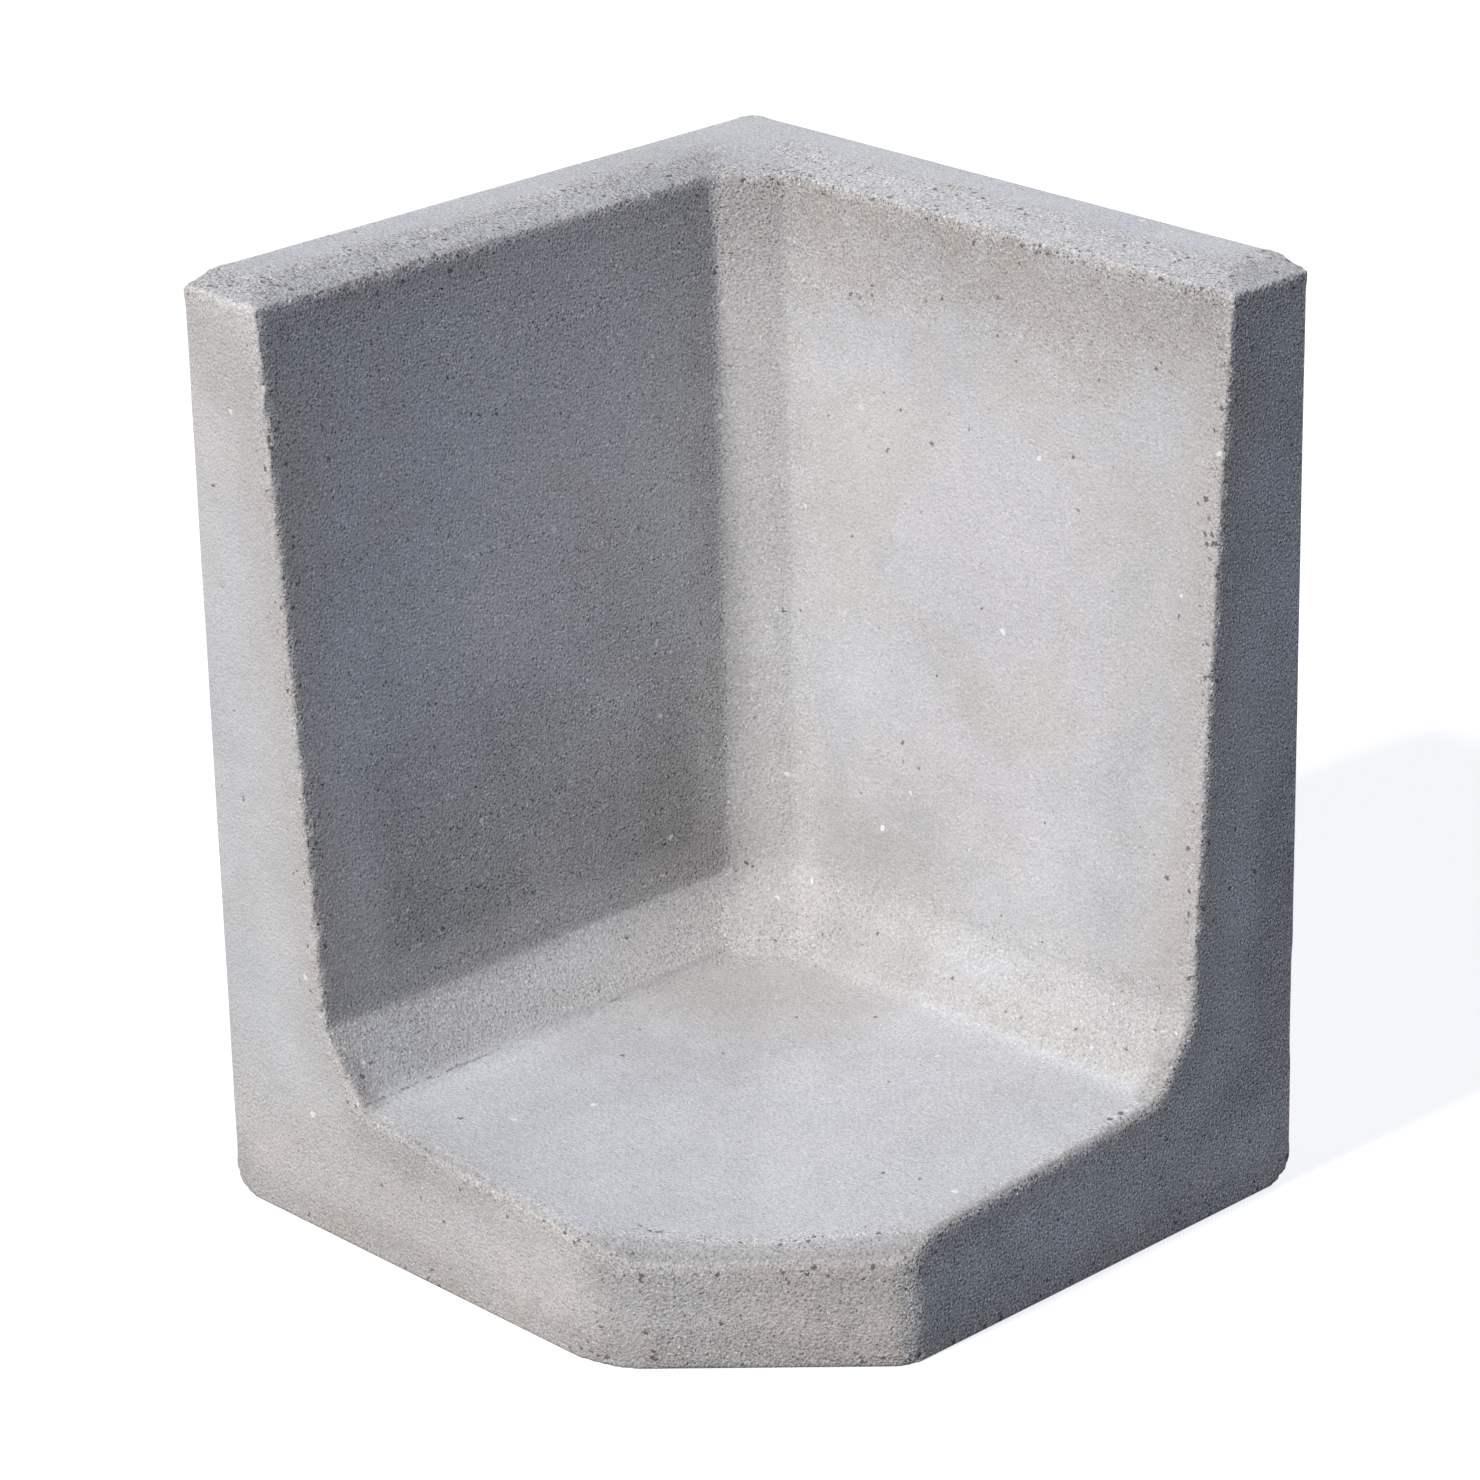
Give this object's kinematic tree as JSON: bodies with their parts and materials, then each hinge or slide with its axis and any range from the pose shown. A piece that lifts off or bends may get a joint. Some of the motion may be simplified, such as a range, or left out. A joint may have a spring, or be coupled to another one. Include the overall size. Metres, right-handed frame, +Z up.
{
  "type": "retaining wall corner element",
  "caption": "Cast concrete corner element: upright walls at a right angle on a haunched foot with a cut front corner, for edging beds and holding back soil.",
  "frame": {"origin": "on the ground, at the middle of the square that the element takes up", "axes": "+Z up; one wall's outer face looks along -X and the other's along +Y, so the open, cut front corner looks along +X and -Y"},
  "size_m": [0.39, 0.39, 0.5],
  "materials": {
    "concrete": "fine sandy cast face with pinholes along the edges, matt"
  },
  "bodies": {
    "root": {"corner_element": "concrete"}
  },
  "joints": []
}
